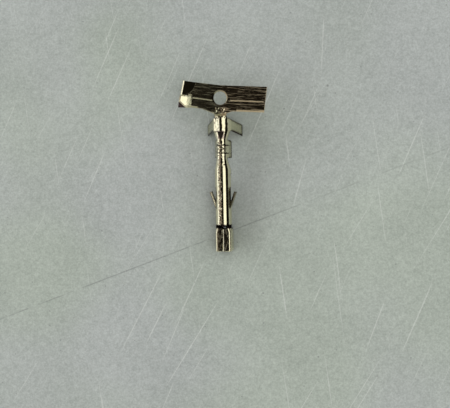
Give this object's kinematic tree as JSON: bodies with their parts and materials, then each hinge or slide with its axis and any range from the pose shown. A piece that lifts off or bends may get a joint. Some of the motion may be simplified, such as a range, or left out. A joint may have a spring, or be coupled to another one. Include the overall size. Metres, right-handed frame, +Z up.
{
  "type": "crimp socket contact",
  "caption": "Stamped crimp socket contact for a cable connector, still on one pitch of its carrier strip.",
  "frame": {"origin": "middle of the bounding box, at the height of the surface it lies on", "axes": "+Z up, away from the surface it lies on; +Y along the contact from the mating end to the carrier strip; +X to the right, seen from above with the strip at the top"},
  "size_m": [0.0122, 0.023, 0.0041],
  "materials": {
    "plated_brass": "bright flash-plated stamping, fine drawn grain along the strip"
  },
  "bodies": {
    "root": {"socket_contact": "plated_brass"}
  },
  "joints": []
}
